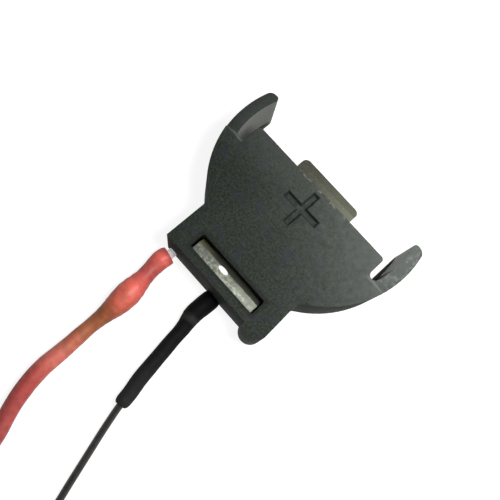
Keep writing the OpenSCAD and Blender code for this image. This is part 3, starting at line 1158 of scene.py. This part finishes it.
# Both routes start where a terminal leaves the rear face. Each point is x, y and the height of the
# lead's underside, as in the part's source.
RED_ROUTE_MM: list[Point] = [
    (0, -0.6, 0.65), (-0.15, -1.5, 0.65), (-0.05, -2.7, 0.6), (0.2, -4.3, 0.8),
    (0.4, -5.9, 0.95), (0.5, -7.5, 0.86), (0.45, -9.1, 0.56), (0.4, -10.7, 0.42),
    (0.45, -12.5, 0.43), (0.5, -14.3, 0.47), (0.5, -15.9, 0.52), (0.6, -17.1, 0.52),
    (0.85, -18.5, 0.5), (1.3, -20.1, 0.48), (1.85, -21.5, 0.47), (2.5, -23, 0.47),
    (2.9, -24.3, 0.47), (3.15, -25.7, 0.25), (3.3, -27.2, 0.1), (3.3, -28.3, 0.15),
]
BLACK_ROUTE_MM: list[Point] = [
    (0, -0.06, 0.65), (-0.05, -1.4, 0.65), (-0.05, -2.7, 0.62), (0.3, -4.3, 0.46),
    (0.5, -5.8, 0.43), (0.75, -7.4, 0.43), (1, -9, 0.43), (1.25, -10.5, 0.43),
    (1.6, -11.9, 0.43), (1.85, -13.3, 0.4), (2.2, -14.7, 0.18), (2.65, -16.3, 0.03),
    (3.15, -17.9, 0), (3.65, -19.5, 0), (4.15, -21.1, 0), (4.7, -22.8, 0),
    (5.15, -24.4, 0), (5.5, -26, 0.03), (5.8, -27.5, 0.1),
]
# the steps of a lead's end, from its coil outward: how far away, and how high its underside is
TAIL_STEPS_MM: list[Span] = [(2.5, 0.55), (4.1, 0.15), (5.6, 0.0), (6.3, 0.0)]
# the turns in the order of winding: how many wires outward of the middle one, and the layer
TURN_SLOTS: list[Span] = [(1, 0), (0, 0), (-1, 0), (-1, 1), (0, 1), (1, 1)]


@dataclass
class Coil:
    """The turns of a lead: three side by side, in two layers, each wound in the groove it fits."""

    centre_mm: Span
    outlet: Outlet
    wire: float = 0.7 * MM
    middle_radius: float = 3.5 * MM
    base_z: float = 0.55 * MM
    turns: float = 5.25
    change_deg: float = 30.0
    lead_in_deg: float = 40.0
    points_per_turn: int = 40

    def place(self, turn: float) -> Vector:
        """Find a point of the winding.

        Args:
            turn: How many turns have been wound.

        Returns:
            The place in space.
        """
        stretch = 1 - self.lead_in_deg / 360
        change = self.change_deg / 360
        last = len(TURN_SLOTS) - 1
        index = min(int(turn / stretch), last)
        left = (index + 1) * stretch - turn
        step = Vector(TURN_SLOTS[index])
        if index < last and left < change:
            share = 1 - left / change
            ease = share * share * (3 - 2 * share)
            step = step.lerp(Vector(TURN_SLOTS[index + 1]), ease)
        radius = self.middle_radius + step.x * self.wire
        angle = 2 * math.pi * turn
        x = self.centre_mm[0] * MM - self.outlet.value * radius * math.cos(angle)
        y = self.centre_mm[1] * MM - radius * math.sin(angle)
        return Vector((x, y, self.base_z + step.y * self.wire))

    def points(self) -> list[Vector]:
        """List the winding's points, from where the lead comes in to where it leaves.

        Returns:
            The points.
        """
        count = round(self.turns * self.points_per_turn)
        return [self.place(self.turns * k / count) for k in range(count + 1)]


@dataclass
class Lead:
    """One lead with what is on it: sleeve, coil, tie and bare end."""

    colour: str
    exit_mm: Span
    route_mm: list[Point]
    coil_mm: Span
    outlet: Outlet
    stations: list[Span]
    joint: str
    insulation: Insulation
    tubing: ShrinkTube
    wire: float = 0.7 * MM
    wire_sides: int = 14
    steps_per_point: int = 4
    shared_points: int = 4
    first_point: int = 2
    sleeve_wall: float = 0.25 * MM
    sleeve_sides: int = 36
    rings_per_point: int = 12
    lump_size: float = 1.4 * MM
    lump_height: float = 0.02 * MM
    end_pinches: Span = (0.08 * MM, 0.02 * MM)
    least_wall: Span = (0.02 * MM, 0.06 * MM)
    tip_length: float = 2.5 * MM
    tip: float = 0.4 * MM
    tip_twists: float = 1.2
    tip_steps: int = 40
    strand_sides: int = 8
    outer_strands: int = 6
    pieces: list[bpy.types.Object] = field(default_factory=list)

    def axis(self) -> list[Vector]:
        """List the middle line's own points along the route, in metres.

        Returns:
            The points.
        """
        x, y = self.exit_mm
        rise = Vector((0, 0, self.wire / 2))
        return [Vector((x + p[0], y + p[1], p[2])) * MM + rise for p in self.route_mm]

    def coil(self) -> Coil:
        """Give the coil in the part's frame."""
        centre = (self.exit_mm[0] + self.coil_mm[0], self.exit_mm[1] + self.coil_mm[1])
        return Coil(centre, self.outlet)

    def tail(self) -> list[Vector]:
        """List the points from the coil down to the start of the bare end.

        Returns:
            The points.
        """
        coil = self.coil()
        y = coil.place(coil.turns).y
        x = coil.centre_mm[0] * MM
        return [
            Vector((x + self.outlet.value * away * MM, y, up * MM + self.wire / 2))
            for away, up in TAIL_STEPS_MM
        ]

    def centreline(self) -> list[Vector]:
        """List points along the whole lead, from its joint to the start of its bare end.

        Returns:
            The points.
        """
        turns = self.coil().points()
        shared, steps = self.shared_points, self.steps_per_point
        knots = self.axis()[self.first_point :] + turns[:shared]
        stretch = [spline(knots, k / steps) for k in range(steps * (len(knots) - shared))]
        ending = turns[-shared:] + self.tail()
        count = steps * (len(ending) - shared)
        out = [spline(ending, shared - 1 + k / steps) for k in range(1, count + 1)]
        return stretch + turns + out

    def build_wire(self) -> None:
        path = self.centreline()
        radii = [self.wire / 2] * len(path)
        wire = tube(f"{self.colour}_wire", path, radii, self.wire_sides)
        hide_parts(f"{self.colour}_lead", f"{self.colour}_lead_coil")
        dress(wire, self.insulation.make())

    def build_sleeve(self) -> bpy.types.Object:
        """Shrink a hollow sleeve on the lead, with a soft far end and slightly uneven walls.

        Returns:
            The sleeve.
        """
        knots = self.axis()
        last = self.stations[-1][0]
        count = round(last * self.rings_per_point)
        places = [last * k / count for k in range(count + 1)]
        path = [spline(knots, p) for p in places]
        sides, rings = self.sleeve_sides, count + 1
        gap, wall = self.least_wall
        outer, inner = [], []
        for i, place in enumerate(places):
            swell = self.lump_height * noise.noise(path[i] / self.lump_size)
            radius = level(self.stations, place) * MM + swell
            lip = count - i
            pinch = self.end_pinches[lip] if lip < len(self.end_pinches) else 0.0
            outer.append(max(radius - pinch, self.wire / 2 + wall))
            inner.append(max(radius - self.sleeve_wall, self.wire / 2 + gap))
        points = [p for i, r in enumerate(outer) for p in ring(path, i, r, sides)]
        points += [p for i, r in enumerate(inner) for p in ring(path, i, r, sides)]
        for point in points:
            point.z = max(point.z, 0.0)
        base = rings * sides
        faces = ring_faces(0, rings, sides) + ring_faces(base, rings, sides, inward=True)
        end = (rings - 1) * sides
        for k in range(sides):
            m = (k + 1) % sides
            faces.append([k, m, base + m, base + k])
            faces.append([end + k, base + end + k, base + end + m, end + m])
        sleeve = new_piece(f"{self.colour}_shrink_sleeve", points, faces)
        along = sleeve.data.attributes.new("along", "FLOAT", "POINT")
        for number in range(len(points)):
            along.data[number].value = places[(number % base) // sides] / last
        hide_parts(f"{self.colour}_sleeve")
        dress(sleeve, self.tubing.make())
        return sleeve

    def build_tip(self) -> bpy.types.Object:
        """Twist tinned strands, one in the middle of the others, into the bare end.

        Returns:
            The bare end.
        """
        start = self.tail()[-1]
        strand = self.tip / 6
        points: list[Vector] = []
        faces: list[list[int]] = []
        steps, sides, others = self.tip_steps, self.strand_sides, self.outer_strands
        for number in range(others + 1):
            radius = 0.0 if number == others else self.tip / 2 - strand
            path = []
            for k in range(steps + 1):
                turn = 2 * math.pi * (number / others + self.tip_twists * k / steps)
                ahead = self.outlet.value * self.tip_length * k / steps
                around = Vector((ahead, radius * math.cos(turn), radius * math.sin(turn)))
                path.append(start + around)
            base = len(points)
            points += [p for i in range(steps + 1) for p in ring(path, i, strand, sides)]
            faces += ring_faces(base, steps + 1, sides)
            faces.append([base + k for k in range(sides)])
            faces.append([base + steps * sides + k for k in reversed(range(sides))])
        tip = new_piece(f"{self.colour}_bare_strands", points, faces)
        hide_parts(f"{self.colour}_lead_tip")
        dress(tip, TinnedCopper().make())
        return tip

    def build(self) -> None:
        """Build the lead and everything on it."""
        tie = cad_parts[f"{self.colour}_coil_tie"]
        dress(tie, Nylon().make())
        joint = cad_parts[self.joint]
        dress(joint, Solder().make())
        self.pieces = [self.build_sleeve(), self.build_tip(), tie, joint]
        self.build_wire()


def red_lead() -> Lead:
    """Describe the positive lead in its long red sleeve.

    Returns:
        The lead, ready to build.
    """
    # painted light falloff: lighter at the block, darker towards the far end; the brown stretch is
    # the wire seen through the sleeve
    lit_colour, coral, pink = (0.95, 0.17, 0.13), (0.84, 0.142, 0.11), (0.52, 0.084, 0.07)
    rust, brown, umber = (0.64, 0.135, 0.083), (0.34, 0.105, 0.036), (0.44, 0.132, 0.055)
    salmon, rose, wine = (0.80, 0.20, 0.15), (0.55, 0.086, 0.072), (0.47, 0.085, 0.078)
    return Lead(
        colour="red",
        exit_mm=(-5.6, -14.5),
        route_mm=RED_ROUTE_MM,
        coil_mm=(-0.9, -31),
        outlet=Outlet.LEFT,
        stations=[
            (0, 0.9), (0.5, 0.98), (1, 0.99), (1.6, 0.95), (2.2, 0.88), (2.7, 0.89), (3.2, 1.03),
            (3.6, 1.18), (4.1, 1.27), (4.7, 1.21), (5.2, 1.11), (5.5, 1.0), (5.9, 0.88),
            (6.3, 0.8), (7, 0.75), (8, 0.78), (9, 0.82), (10, 0.87), (11, 0.87), (12, 0.85),
            (13, 0.83), (14, 0.82), (16, 0.82),
        ],
        joint="positive_solder",
        insulation=Insulation("red_insulation", (0.45, 0.03, 0.02), (0.55, 0.06, 0.04)),
        tubing=ShrinkTube(
            name="red_shrink",
            stops=(
                (0.0, lit_colour), (0.05, coral), (0.14, pink), (0.22, coral), (0.31, rust),
                (0.38, brown), (0.46, umber), (0.58, salmon), (0.72, rose), (1.0, wine),
            ),
            glow=0.08,
            roughness=0.46,
            coat=0.04,
            sheen=0.4,
            mottle=0.22,
        ),
    )


def black_lead() -> Lead:
    """Describe the negative lead in its short black sleeve.

    Returns:
        The lead, ready to build.
    """
    # painted sheen: darkest at the block and lighter towards the far end, with a painted glint at
    # about a quarter of the way
    near, skin, pale_patch = (0.002, 0.002, 0.002), (0.003, 0.003, 0.003), (0.03, 0.03, 0.028)
    satin, sheen_tone, far = (0.005, 0.005, 0.005), (0.010, 0.010, 0.010), (0.026, 0.026, 0.027)
    return Lead(
        colour="black",
        exit_mm=(0.5, -14.5),
        route_mm=BLACK_ROUTE_MM,
        coil_mm=(10.2, -30),
        outlet=Outlet.RIGHT,
        stations=[
            (0, 0.9), (0.4, 0.99), (1, 0.99), (1.6, 0.97), (2.1, 0.94), (2.4, 0.86), (2.8, 0.78),
            (3.5, 0.75), (5, 0.76), (6, 0.77), (8, 0.77), (8.6, 0.76), (8.85, 0.7), (9, 0.63),
        ],
        joint="negative_solder",
        insulation=Insulation("black_insulation", (0.020, 0.019, 0.017), (0.032, 0.030, 0.027)),
        tubing=ShrinkTube(
            name="black_shrink",
            stops=(
                (0.0, near), (0.22, skin), (0.26, pale_patch), (0.30, satin), (0.6, sheen_tone), (1.0, far),
            ),
            glow=0.0,
            roughness=0.6,
            coat=0.0,
            sheen=0.08,
        ),
    )


# ------------------------------------------------------------------ holder


@dataclass
class Housing:
    """The moulded housing, with its mould-rounded edges."""

    edge_radius: float = 0.09 * MM
    edge_segments: int = 3
    sharp_deg: float = 32.0
    flat_deg: float = 0.5
    weld: float = 0.0005 * MM

    def build(self) -> None:
        """Round the housing's edges on a copy that stands for it."""
        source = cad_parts["housing"]
        mesh = source.data.copy()
        shape = bmesh.new()
        shape.from_mesh(mesh)
        bmesh.ops.remove_doubles(shape, verts=shape.verts, dist=self.weld)
        flat = math.radians(self.flat_deg)
        bmesh.ops.dissolve_limit(
            shape, angle_limit=flat, verts=shape.verts, edges=shape.edges
        )
        shape.to_mesh(mesh)
        shape.free()
        mesh.name = "moulded_housing"
        piece = bpy.data.objects.new("moulded_housing", mesh)
        bpy.context.scene.collection.objects.link(piece)
        rounding = piece.modifiers.new("rounding", "BEVEL")
        rounding.width = self.edge_radius
        rounding.segments = self.edge_segments
        rounding.limit_method = "ANGLE"
        rounding.angle_limit = math.radians(self.sharp_deg)
        rounding.use_clamp_overlap = True
        depsgraph = bpy.context.evaluated_depsgraph_get()
        rounded = bpy.data.meshes.new_from_object(piece.evaluated_get(depsgraph))
        piece.modifiers.clear()
        piece.data = rounded
        rounded.shade_smooth()
        rounded.set_sharp_from_angle(angle=math.radians(self.sharp_deg))
        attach(piece, BODY)
        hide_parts("housing")
        dress(piece, MouldedPlastic().make())


@dataclass
class Contacts:
    """The two sheet contacts and their finishes."""

    positive: TinnedSheet = TinnedSheet()
    negative: PlatedSheet = PlatedSheet()

    def build(self) -> None:
        """Dress both contacts."""
        dress(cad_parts["positive_contact"], self.positive.make())
        dress(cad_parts["negative_contact"], self.negative.make())


def main() -> None:
    """Build the studio and the dressed holder."""
    logging.basicConfig(level=logging.INFO, format="%(name)s: %(message)s")
    studio = Studio()
    studio.add_camera()
    for lead in (red_lead(), black_lead()):
        lead.build()
    Housing().build()
    Contacts().build()
    studio.build()


if __name__ == "__main__":
    main()
